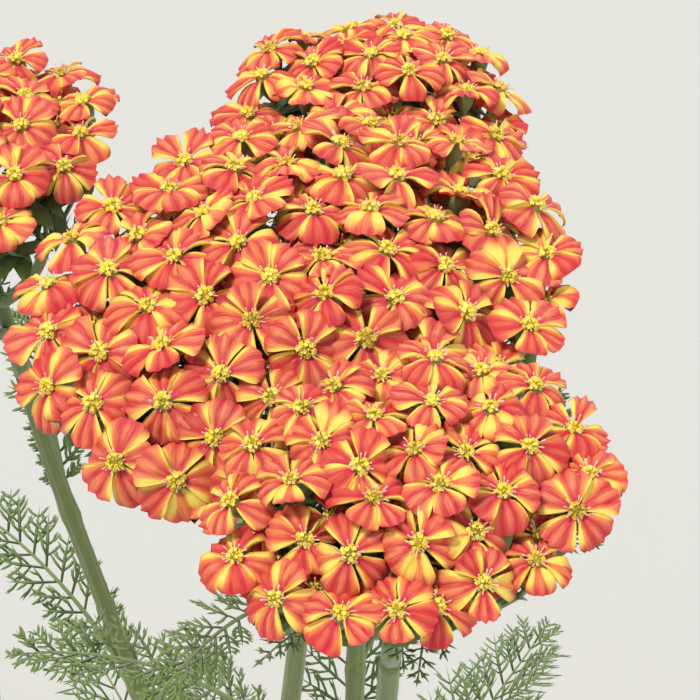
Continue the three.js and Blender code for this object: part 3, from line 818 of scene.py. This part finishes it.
def add_leaf(batch, spine, side, pairs, lobes, width_at, draw, thickness=1.0, bare=0.16):
    """A feathery leaf: its rachis, pairs of leaflets and the fine lobes that cut each of them."""
    length = path_length(spine)
    shares = evenly(len(spine))
    tone = draw()
    swollen = 1 + 0.5 * (1 - smooth(0, bare, shares))
    radii = thickness * lerp(0.95, 0.22, np.sqrt(shares)) * swollen
    batch.add(*tube(spine, radii, sides=8), reach=-0.2, seed=tone)
    widths = {part: width * thickness for part, width in LOBE_WIDTHS.items()}
    cut = []
    for n in range(2 * pairs + 1):
        way = 1 if n % 2 else -1
        share = bare + (1 - bare) * (n // 2 + 0.5 + 0.3 * (draw() - 0.5)) / pairs
        if n == 2 * pairs:
            way, share = 0, 1.0
        (spot,), (tangent,) = path_at(spine, [share * length])
        normal = unit(np.cross(tangent, side))
        slant = lerp(0.5, 0.95, share) + 0.2 * (draw() - 0.5)
        lift = draw(-0.15, 0.45)
        aim = unit(side * way * math.cos(slant) + tangent * math.sin(slant) + normal * lift)
        if way == 0:
            aim = tangent
        reach = float(width_at(min(share, 0.97))) * draw(0.9, 1.14)
        reach = reach / max(math.cos(slant), 0.5)
        bend = reach * draw(0.02, 0.22)
        cut.append((spot, aim, normal, reach, widths["leaflet"], bend, 0.0, 1.0, tone))
        across = unit(np.cross(aim, normal))
        for j in range(lobes):
            t = 0.22 + 0.68 * (j + 0.3 * draw()) / lobes
            foot = spot + aim * reach * t + np.cross(across, aim) * bend * t * t
            for turn in (1, -1):
                angle = draw(0.55, 0.95)
                raised = draw(-0.55, 0.75)
                out = unit(
                    aim * math.cos(angle) + across * turn * math.sin(angle) + normal * raised * 0.6
                )
                size = reach * lerp(0.5, 0.24, t) * draw(0.8, 1.15)
                cut.append((foot, out, normal, size, widths["lobe"], 0.1 * size, t, 1.0, tone))
                fork = unit(out + (aim - across * turn * draw(-0.6, 0.3)) * 0.7)
                cut.append((foot + out * 0.4 * size, fork, normal, 0.6 * size, widths["fork"],
                            0.0, lerp(t, 1.0, 0.4), 1.0, tone))
    add_lobes(batch, *map(np.array, zip(*cut)))


def stem_leaf(stem, path, k):
    """A stem leaf's spine, the direction across it, and half its greatest width."""
    climb = k / max(1, stem["leaves"] - 1)
    length = lerp(CAULINE["longest"], CAULINE["shortest"], climb)
    rise = path_length(path)
    distance = lerp(CAULINE["first"], rise - CAULINE["last"], climb)
    aim = stem["sector"] + stem["spread"] * (2 * ((k * 0.618 + 0.2) % 1) - 1)
    out = heading(aim)
    (root,), _ = path_at(path, [distance])
    bend = root + out * 0.38 * length + vec(0, 0, 0.5 * length)
    tip = root + out * 0.88 * length + vec(0, 0, 0.34 * length)
    spine = even_steps(bezier(root, bend, tip, evenly(60)), 40)
    return distance, spine, vec(-out[1], out[0], 0), CAULINE["width_share"] * length


def add_down(batch, path, radii, draw):
    """Short fine hairs standing all round a stalk."""
    total = path_length(path)
    distances = np.array([total * (0.06 + 0.94 * draw()) for _ in range(HAIR["count"])])
    spots, aims = path_at(path, distances)
    shares = distances / total
    for spot, aim, share in zip(spots, aims, shares):
        out = square_to(aim, vec(1, 0, 0), TAU * draw())
        radius = float(np.interp(share, evenly(len(radii)), radii))
        foot = spot + out * 0.94 * radius
        tip = foot + (out + aim * draw(-0.2, 0.9)) * draw(*HAIR["length"])
        side = unit(np.cross(out, aim)) * HAIR["half_width"]
        points = [foot + side, foot - 0.5 * side + aim * 0.03, foot - 0.5 * side - aim * 0.03, tip]
        batch.add(points, [(0, 2, 1), (0, 1, 3), (1, 2, 3), (2, 0, 3)], height=1.5, seed=draw())


def build_stem(stem):
    draw = random_from(SEEDS["stem"] + stem["seed"])
    path = stem_path(stem)
    total = path_length(path)
    shares = evenly(len(path))
    radii = lerp(STEM["base_radius"], STEM["top_radius"], shares) * 0.97
    stalks, leaves = Batch(), Batch()
    for k in range(stem["leaves"]):
        distance, spine, side, width = stem_leaf(stem, path, k)
        radii = radii + 0.3 * np.exp(-(((shares * total - distance) / 2.2) ** 2))
        add_leaf(
            leaves, spine, side, LEAFLETS["stem_pairs"] - k, LEAFLETS["lobes"] - 1,
            leaf_width(width), draw, thickness=0.85, bare=0.1,
        )
    points, triangles = tube(path, radii, sides=32, ribs=8, rib_height=0.075)
    height = 0.25 * (points[:, 2] - points[:, 2].min()) / np.ptp(points[:, 2])
    stalks.add(points, triangles, height=height, seed=draw())
    add_down(stalks, path, radii, draw)
    name = f"stem_{stem['name']}"
    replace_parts(mesh_object(f"stalk_{stem['name']}", stalks, "stem"), name)
    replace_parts(mesh_object(f"leaves_{stem['name']}", leaves, "leaf"), name)


def build_basal(k):
    """One leaf of the rosette, on the same spine as its solid."""
    random = random_from(BASAL["seed"] + k)
    length = BASAL["length"] * (0.92 + 0.16 * random())
    out = heading(360 * (k + 0.5) / BASAL["count"] + 6 * (random() - 0.5))
    soil = SOIL["level"] + SOIL["mound"]
    start = BASAL["ring"]
    upright = k % 2
    rises = (0.42, 0.62, 0.56) if upright else (0.26, 0.36, 0.24)
    reaches = (0.2, 0.46, 0.76) if upright else (0.2, 0.52, 0.84)
    stops = [
        (start, soil - SOIL["hole"] + GAP), (start, soil - 3), (start + 0.5, soil + 4),
        *((start + a * length, soil + b * length) for a, b in zip(reaches, rises)),
    ]
    spine = catmull([out * reach + vec(0, 0, z) for reach, z in stops], 70)
    draw = random_from(SEEDS["basal"] + k)
    leaf = Batch()
    add_leaf(
        leaf, spine, vec(-out[1], out[0], 0), LEAFLETS["basal_pairs"], LEAFLETS["lobes"],
        leaf_width(BASAL["width"]), draw,
    )
    piece = mesh_object(f"frond_{k + 1}", leaf, "leaf")
    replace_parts(piece, f"basal_leaf_{k + 1}")


# ---- pot and compost ----
def wall_radius(z, inner=False):
    slope = (POT["top_radius"] - POT["foot_radius"]) / POT["height"]
    return POT["foot_radius"] + slope * z - (POT["wall"] if inner else 0)


def turned(profile, sides):
    """A solid of revolution: rings through the profile's (radius, height) stops."""
    return np.array([circle(sides, radius, z) for radius, z in profile])


def rounded(corner, before, after, radius, steps=5):
    """Stops round a corner of a profile, from the side of one neighbour to that of the other."""
    corner, before, after = vec(*corner), vec(*before), vec(*after)
    start = corner + unit(before - corner) * radius
    end = corner + unit(after - corner) * radius
    return [tuple(p) for p in bezier(start, corner, end, evenly(steps))]


def build_pot():
    """A thrown clay pot: rolled rim, slightly wavy turned wall, and a floor with drain holes."""
    top, foot, floor = POT["height"], POT["foot_radius"], POT["floor"]
    rim_foot = top - RIM["height"]
    rim_radius = wall_radius(top) + RIM["proud"]
    wall = [(wall_radius(z) + 0.12 * math.sin(z * 0.9) * math.sin(z * 0.37 + 1), z)
            for z in np.linspace(3, rim_foot - 1.5, 34)]
    band = [(rim_radius - 1 + (z - rim_foot) / RIM["height"] + 0.07 * math.sin(z * 1.3), z)
            for z in np.linspace(rim_foot + 3, top - 4, 8)]
    corners = [
        *rounded((foot, 0), (0, 0), (wall_radius(10), 10), 2.0),
        *wall,
        *rounded((rim_radius - 1, rim_foot), (wall_radius(rim_foot), rim_foot),
                 (rim_radius - 1, top), 1.6),
        *band,
        *rounded((rim_radius, top), (rim_radius, rim_foot), (0, top), 2.4, 7),
        *rounded((wall_radius(top, inner=True), top), (rim_radius, top),
                 (wall_radius(floor, inner=True), floor), 2.2, 7),
    ]
    inside = [(wall_radius(z, inner=True), z) for z in np.linspace(top - 6, floor + 4, 8)]
    corner = rounded((wall_radius(floor, inner=True), floor), inside[-1], (0, floor), 3.0)
    profile = [(10, 0), (foot - 6, 0), *corners, *inside, *corner, (10, floor)]
    pot = Batch()
    pot.add(*closed_rings(turned(profile, 120)))
    piece = mesh_object("clay_pot", pot, "clay")
    for k in range(DRAIN["count"]):
        spot = heading(360 * k / DRAIN["count"]) * DRAIN["ring"]
        bore = Batch()
        bore.add(*tube([spot + vec(0, 0, z) for z in (-2, 0, floor / 2, floor, floor + 2)],
                       DRAIN["radius"] * 0.96, 48))
        cut_away(piece, bore)
    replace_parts(piece, "pot")


def cut_away(piece, batch):
    """Takes a closed shape out of a piece."""
    mesh = batch.mesh("cutter")
    cutter = scene_object("cutter", mesh)
    tool = piece.modifiers.new("cut", "BOOLEAN")
    tool.operation, tool.solver, tool.object = "DIFFERENCE", "EXACT", cutter
    evaluated = piece.evaluated_get(bpy.context.evaluated_depsgraph_get())
    cut = bpy.data.meshes.new_from_object(evaluated)
    piece.modifiers.clear()
    piece.data = cut
    bpy.data.objects.remove(cutter)
    bpy.data.meshes.remove(mesh)


def soil_height(x, y):
    """The compost's uneven surface."""
    reach = np.hypot(x, y) / wall_radius(SOIL["level"], inner=True)
    mound = SOIL["mound"] * (1 - smooth(0.45, 0.95, reach))
    rough = 0.0
    for n, (size, depth) in enumerate(((0.11, 0.5), (0.31, 0.32), (0.83, 0.24), (1.7, 0.16))):
        turn = 1.3 * n + 0.4
        a, b = math.cos(turn), math.sin(turn)
        winding = 2 * np.sin(size * 0.7 * (b * x - a * y))
        rough = rough + depth * np.sin(size * (a * x + b * y) + winding)
    return SOIL["level"] + mound + rough


def crumb_shape(size, draw):
    """An uneven lump of compost or grit."""
    sides, rings = 6, []
    for level, span in enumerate((0.55, 0.95, 0.6)):
        radius = size * span * np.array([draw(0.7, 1.2) for _ in range(sides)])
        height = size * 0.55 * (level - 1) * draw(0.7, 1.1)
        rings.append(circle(sides, radius, height, 0.4 * level))
    return closed_rings(np.array(rings))


def build_soil():
    draw = random_from(SEEDS["soil"])
    edge = wall_radius(SOIL["level"], inner=True) - 2 * GAP
    low = POT["floor"] + GAP
    foot = wall_radius(low, inner=True) - 2 * GAP - 3
    side = [(lerp(foot + 3, edge, t), lerp(low + 6, SOIL["level"] - 2, t)) for t in evenly(8)]
    below = [(8, low), (foot, low), (foot + 2.4, low + 2.6), *side]
    rings = turned([*below, *((r, SOIL["level"]) for r in np.linspace(edge, 1.2, 42))], 126)
    top = rings[len(below):]
    top[..., 2] = soil_height(top[..., 0], top[..., 1])
    soil = Batch()
    soil.add(*closed_rings(rings), kind=0.0, seed=0.5)
    for _ in range(CRUMBS["count"]):
        reach, angle = edge * math.sqrt(draw()) * 0.97, TAU * draw()
        x, y = reach * math.cos(angle), reach * math.sin(angle)
        pale = draw() < CRUMBS["pale_share"]
        size = lerp(CRUMBS["smallest"], CRUMBS["largest"], draw() ** 2.5) * (0.8 if pale else 1.0)
        points, triangles = crumb_shape(size, draw)
        lean = unit(vec(draw() - 0.5, draw() - 0.5, 1))
        across = unit(np.cross(lean, vec(0.3, 1, 0)))
        spot = vec(x, y, float(soil_height(x, y)) + 0.1 * size)
        points = place(points, spot, across, np.cross(lean, across), lean, 1.0)
        soil.add(points, triangles, kind=1.0 if pale else 0.0, seed=draw())
    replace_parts(mesh_object("compost", soil, "compost"), "soil")


# ---- materials ----
def linear(colour):
    """A colour as a shader takes it, from screen values such as "c0123c", or already linear."""
    if isinstance(colour, str):
        shares = [int(colour[k : k + 2], 16) / 255 for k in (0, 2, 4)]
        colour = [c / 12.92 if c <= 0.04045 else ((c + 0.055) / 1.055) ** 2.4 for c in shares]
    return (*(colour if hasattr(colour, "__iter__") else (colour,) * 3), 1)


class Look:
    """A material in the making: its methods add nodes and give back the sockets to go on from."""

    def __init__(self, name):
        self.made = bpy.data.materials.new(name)
        self.made.use_nodes = True
        self.tree = self.made.node_tree
        self.shader = next(n for n in self.tree.nodes if n.type == "BSDF_PRINCIPLED")

    def give(self, socket, value):
        if isinstance(value, bpy.types.NodeSocket):
            self.tree.links.new(value, socket)
        else:
            socket.default_value = linear(value) if socket.type == "RGBA" else value

    def node(self, kind, inputs, **settings):
        made = self.tree.nodes.new(kind)
        for key, value in settings.items():
            setattr(made, key, value)
        for key, value in inputs.items():
            self.give(made.inputs[key], value)
        return made.outputs

    def attributes(self, *names):
        """Values that the mesh has at its points."""
        return [self.node("ShaderNodeAttribute", {}, attribute_name=n)["Fac"] for n in names]

    def place(self):
        return self.node("ShaderNodeTexCoord", {})["Object"]

    def math(self, operation, *values):
        return self.node("ShaderNodeMath", dict(enumerate(values)), operation=operation)[0]

    def times(self, a, b, plus=0.0):
        return self.math("MULTIPLY_ADD", a, b, plus) if plus else self.math("MULTIPLY", a, b)

    def stretch(self, vector, factors):
        return self.node("ShaderNodeVectorMath", {0: vector, 1: factors}, operation="MULTIPLY")[0]

    def noise(self, vector, scale, detail=2.0, roughness=0.5):
        inputs = {"Vector": vector, "Scale": scale, "Detail": detail, "Roughness": roughness}
        return self.node("ShaderNodeTexNoise", inputs)["Fac"]

    def ramp(self, value, *stops, interpolation="LINEAR"):
        """A colour ramp: stops are a place and a colour or grey."""
        made = self.tree.nodes.new("ShaderNodeValToRGB")
        self.give(made.inputs["Fac"], value)
        made.color_ramp.interpolation = interpolation
        elements = made.color_ramp.elements
        while len(elements) < len(stops):
            elements.new(0.5)
        for element, (at, colour) in zip(elements, stops):
            element.position = at
            element.color = linear(colour)
        return made.outputs["Color"]

    def coats(self, colour, *coats):
        """The colour under one coat after another, each an amount and its colour."""
        for amount, coat in coats:
            inputs = {0: amount, 6: colour, 7: coat}
            colour = self.node("ShaderNodeMix", inputs, data_type="RGBA", blend_type="MIX")[2]
        return colour

    def finish(self, colour, values, bump=None):
        """Sets the shader. A bump is its strength, its depth and the socket of its height."""
        for key, value in {"Base Color": colour, **values}.items():
            self.give(self.shader.inputs[key], value)
        if bump:
            inputs = dict(zip(("Strength", "Distance", "Height"), bump))
            self.give(self.shader.inputs["Normal"], self.node("ShaderNodeBump", inputs)[0])
        return self.made


def ray_material():
    """Coral petals: a pale yellow margin along each side, soft salmon streaks lengthwise, a hue
    of their own between rose and orange, some nearly plain red and some nearly all yellow, and
    a painted highlight on the ridges of the pleats with painted shade in their grooves."""
    look = Look("petal")
    across, along, tint, gold, seed = look.attributes("across", "along", "tint", "gold", "seed")
    lopsided = look.times(across, look.times(seed, 0.5, -0.25))
    width = look.math("ADD", look.math("ABSOLUTE", across), lopsided)
    parts = {0: look.times(across, 3.2), 1: look.times(along, 0.8), 2: look.times(seed, 60.0)}
    spot = look.node("ShaderNodeCombineXYZ", parts)[0]
    streaks = look.noise(spot, 2.2, 3.0, 0.6)
    body = look.ramp(
        tint, (0.0, "c0123c"), (0.35, "ce2032"), (0.7, "d8362a"),
        (1.0, "ec702a"),
    )
    salmon = look.coats("ee7a68", (tint, "f6964e"))
    fine = look.noise(look.stretch(spot, (3.4, 1.0, 1.0)), 2.6, 2.0)
    # 1 on the ridges of the pleats and 0 in their grooves: this drives a painted highlight and
    # painted shade
    ridge_painted_light = look.times(look.math("COSINE", look.times(across, 3 * math.pi)), 0.5, 0.5)
    # where along the ray the painted highlight on the ridges is strongest
    middle = look.ramp(along, (0.15, 0.0), (0.5, 0.58), (0.78, 0.46), (1.0, 0.0))
    petal = look.coats(
        body,
        (look.ramp(streaks, (0.42, 0.0), (0.66, 0.92)), salmon),
        (look.ramp(fine, (0.44, 0.0), (0.62, 0.7)), "faa678"),  # veins
        # painted highlight along the ridges of the pleats
        (look.times(ridge_painted_light, middle), "f69264"),
        # painted shade in the grooves of the pleats
        (look.times(look.math("SUBTRACT", 1.0, ridge_painted_light), 0.68), "bc0e30"),  # grooves
        (look.ramp(seed, (0.5, 0.0), (0.85, 0.55)), "cc0e32"),  # the nearly plain ones
        (look.ramp(along, (0.8, 0.0), (1.0, 0.5)), "d4263c"),  # tip
        (look.ramp(along, (0.05, 0.8), (0.45, 0.0)), "ce1e4a"),  # foot
    )
    from_widest = look.math("POWER", look.math("SUBTRACT", along, 0.4), 2.0)
    reach = look.times(gold, -0.75, look.times(from_widest, 1.1, 0.77))
    ragged = look.math("ADD", width, look.times(streaks, 0.3, -0.15))
    edge = look.math("SUBTRACT", ragged, reach)
    fade = look.ramp(along, (0.0, 0.85), (0.12, 1.0), (0.56, 0.95), (0.78, 0.4), (0.92, 0.03))
    yellow = look.coats("ffec7c", (streaks, "facc48"))
    for slope, start, most, coat in (
        (1.9, 0.84, 0.74, "f69e4a"),  # the blend beside the margin
        (5.5, 0.35, 1.0, yellow),  # the margin
    ):
        amount = look.ramp(
            look.times(edge, slope, start), (0.0, 0.0), (1.0, most), interpolation="EASE"
        )
        petal = look.coats(petal, (look.times(amount, fade), coat))
    return look.finish(petal, {
        "Roughness": 0.52, "Specular IOR Level": 0.28, "Sheen Weight": 0.05,
        "Subsurface Weight": 0.12, "Subsurface Radius": (0.9, 0.35, 0.2),
        "Subsurface Scale": 0.0008,
    }, (0.25, 0.0002, look.noise(spot, 9.0, 2.0)))


def disc_material():
    look = Look("floret")
    ripe, seed, worn = look.attributes("ripe", "seed", "worn")
    colour = look.ramp(
        ripe, (0.0, "807a22"), (0.2, "eed43e"), (0.5, "ffe248"),
        (1.0, "fff280"),
    )
    shades = ((look.times(seed, 0.22), "fac430"), (worn, "cc7a2e"))
    grain = look.noise(look.place(), 4000.0)
    return look.finish(look.coats(colour, *shades), {"Roughness": 0.6}, (0.3, 0.0001, grain))


def style_material():
    look = Look("style")
    (seed,) = look.attributes("seed")
    colour = look.coats("f6dec8", (seed, "ecb096"))
    return look.finish(colour, {"Roughness": 0.6})


def stem_material():
    """Grey-green stalks: fine lengthwise shading, paler with down."""
    look = Look("stalk")
    seed, height = look.attributes("seed", "height")
    streaks = look.noise(look.stretch(look.place(), (1.0, 1.0, 0.12)), 1500.0, 3.0)
    low = look.coats("546830", (streaks, "809254"))
    high = look.coats("627c3a", (streaks, "96a868"))
    colour = look.coats(low, (height, high), (look.times(seed, 0.25), "786e3c"))
    return look.finish(colour, {"Roughness": 0.68, "Sheen Weight": 0.4}, (0.4, 0.0002, streaks))


def leaf_material():
    """Ferny green: darker at the middle, lighter and yellower at the lobes' tips, and downy."""
    look = Look("leaf")
    reach, seed = look.attributes("reach", "seed")
    spot = look.place()
    dark = look.coats("345422", (seed, "4a662e"))
    light = look.coats("708e42", (seed, "869c54"))
    blotched = look.math("MULTIPLY_ADD", look.noise(spot, 90.0, 3.0), 0.5, reach)
    colour = look.coats(
        dark,
        (look.ramp(blotched, (0.1, 0.0), (1.3, 1.0)), light),
        (look.ramp(look.math("ADD", reach, 1.0), (0.8, 0.8), (0.95, 0.0)), "8a9860"),
    )
    return look.finish(colour, {
        "Roughness": 0.6, "Sheen Weight": 0.25, "Subsurface Weight": 0.08,
        "Subsurface Radius": (0.4, 0.7, 0.15), "Subsurface Scale": 0.0006,
    }, (0.3, 0.0001, look.noise(spot, 2600.0, 2.0)))


def compost_material():
    """Dark crumbly compost, with a few pale grains of grit."""
    look = Look("compost")
    kind, seed = look.attributes("kind", "seed")
    spot = look.place()
    fine, broad = look.noise(spot, 900.0, 6.0, 0.7), look.noise(spot, 120.0, 4.0, 0.6)
    colour = look.ramp(
        fine, (0.3, "1a120d"), (0.5, "34251a"), (0.68, "543e2c"),
        (0.85, "765c42"),
    )
    colour = look.coats(
        colour,
        (look.ramp(broad, (0.35, 0.0), (0.7, 0.55)), "261b14"),
        (look.times(seed, 0.35), "4e3a2a"),
        (kind, look.coats("c4bcac", (seed, "dedace"))),
    )
    return look.finish(colour, {"Roughness": 0.94}, (0.9, 0.0012, fine))


def clay_material():
    """Fired clay: warm orange-brown, cloudy, with a chalky bloom low on the wall and on the rim."""
    look = Look("clay")
    spot = look.place()
    cloudy = look.noise(spot, 28.0, 5.0, 0.6)
    lines = look.noise(look.stretch(spot, (18.0, 18.0, 900.0)), 1.0, 2.0)
    grain = look.noise(spot, 1500.0, 4.0, 0.7)
    colour = look.ramp(
        cloudy, (0.25, "a45636"), (0.5, "b86642"), (0.75, "ca7a52")
    )
    height = look.node("ShaderNodeSeparateXYZ", {0: spot})[2]
    low = look.ramp(
        look.times(height, 1000.0 / POT["height"]),
        (0.0, 0.75), (0.22, 0.3), (0.5, 0.05), (0.8, 0.1), (0.98, 0.45),
    )
    patches = look.ramp(look.noise(spot, 45.0, 6.0, 0.65), (0.46, 0.0), (0.62, 1.0))
    colour = look.coats(
        colour,
        (look.ramp(lines, (0.4, 0.0), (0.75, 0.35)), "964e32"),
        (look.ramp(grain, (0.55, 0.0), (0.8, 0.4)), "d89670"),
        (look.times(look.times(low, patches), 0.8), "dec6b0"),
    )
    rough = look.math("ADD", grain, look.times(lines, 0.8))
    return look.finish(colour, {"Roughness": 0.86}, (0.35, 0.0003, rough))


# ---- camera, floor and light ----
VIEW = {"target": (12, -13, 424), "elevation": 48, "distance": 320, "half_frame": 47.25}
SENSOR = 36
FLOOR = {"half": 9.0, "points": 48, "flat_to": 4.5, "rises_to": 10.0, "rise": 2.2}
AMBIENT = {"Color": (0.95, 0.97, 1.0, 1), "Strength": 0.52}
LIGHTS = (  # name, where it stands, how many radians across it is, power and colour
    ("key", (-0.58, 0.02, 1.33), 0.26, 2.45, (1.0, 0.97, 0.9)),
    ("fill", (1.1, -0.8, 0.6), 0.75, 0.85, (1.0, 0.99, 0.96)),
    ("back", (0.5, 1.3, 0.6), 0.5, 0.5, (1, 1, 1)),
)


def add_camera():
    camera = scene_object("camera", bpy.data.cameras.new("camera"))
    elevation = math.radians(VIEW["elevation"])
    back = vec(0, -math.cos(elevation), math.sin(elevation)) * VIEW["distance"]
    camera.location = Vector((vec(*VIEW["target"]) + back) * METRES)
    camera.rotation_euler = Vector(-back).to_track_quat("-Z", "Y").to_euler()
    camera.data.sensor_width = SENSOR
    camera.data.sensor_fit = "HORIZONTAL"
    camera.data.lens = SENSOR / 2 * VIEW["distance"] / VIEW["half_frame"]
    camera.data.clip_start = 0.01
    camera.data.clip_end = 20
    bpy.context.scene.camera = camera


def add_floor():
    """A plain pale floor, flat round the pot and rising gently far away."""
    step = FLOOR["points"]
    mesh = bpy.data.meshes.new("floor")
    grid = np.linspace(-FLOOR["half"], FLOOR["half"], step)
    height = lambda reach: FLOOR["rise"] * float(smooth(FLOOR["flat_to"], FLOOR["rises_to"], reach))
    points = [(x, y, height(math.hypot(x, y))) for y in grid for x in grid]
    faces = [
        (j * step + i, j * step + i + 1, (j + 1) * step + i + 1, (j + 1) * step + i)
        for j in range(step - 1) for i in range(step - 1)
    ]
    mesh.from_pydata(points, [], faces)
    mesh.shade_smooth()
    look = Look("floor")
    grain = look.noise(look.place(), 6.0, 2.0)
    colour = look.coats("c6c6c3", (look.times(grain, 0.06), (0.7, 0.7, 0.68)))
    mesh.materials.append(look.finish(colour, {"Roughness": 0.85}))
    floor = scene_object("floor", mesh)
    floor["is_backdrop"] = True


def add_light(name, towards, across, power, colour):
    """A soft even light from far away."""
    data = bpy.data.lights.new(name, "SUN")
    data.angle, data.energy, data.color = across, power, colour
    light = scene_object(name, data)
    light.location = towards
    light.rotation_euler = (-Vector(towards)).to_track_quat("-Z", "Y").to_euler()


def add_studio():
    world = bpy.data.worlds.new("studio")
    world.use_nodes = True
    for key, value in AMBIENT.items():
        world.node_tree.nodes["Background"].inputs[key].default_value = value
    bpy.context.scene.world = world
    for light in LIGHTS:
        add_light(*light)
    bpy.context.scene.view_settings.view_transform = "Standard"


add_camera()
add_floor()
add_studio()
LOOKS = {
    "rays": ray_material(), "disc": disc_material(), "style": style_material(),
    "stem": stem_material(), "leaf": leaf_material(), "compost": compost_material(),
    "clay": clay_material(),
}
build_pot()
build_soil()
for stem in STEMS:
    build_stem(stem)
    build_cluster(stem)
for k in range(BASAL["count"]):
    build_basal(k)

boxes = {"cad": cad_box, "visual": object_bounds()}
{k: [list(map(float, corner)) for corner in box] for k, box in boxes.items()}
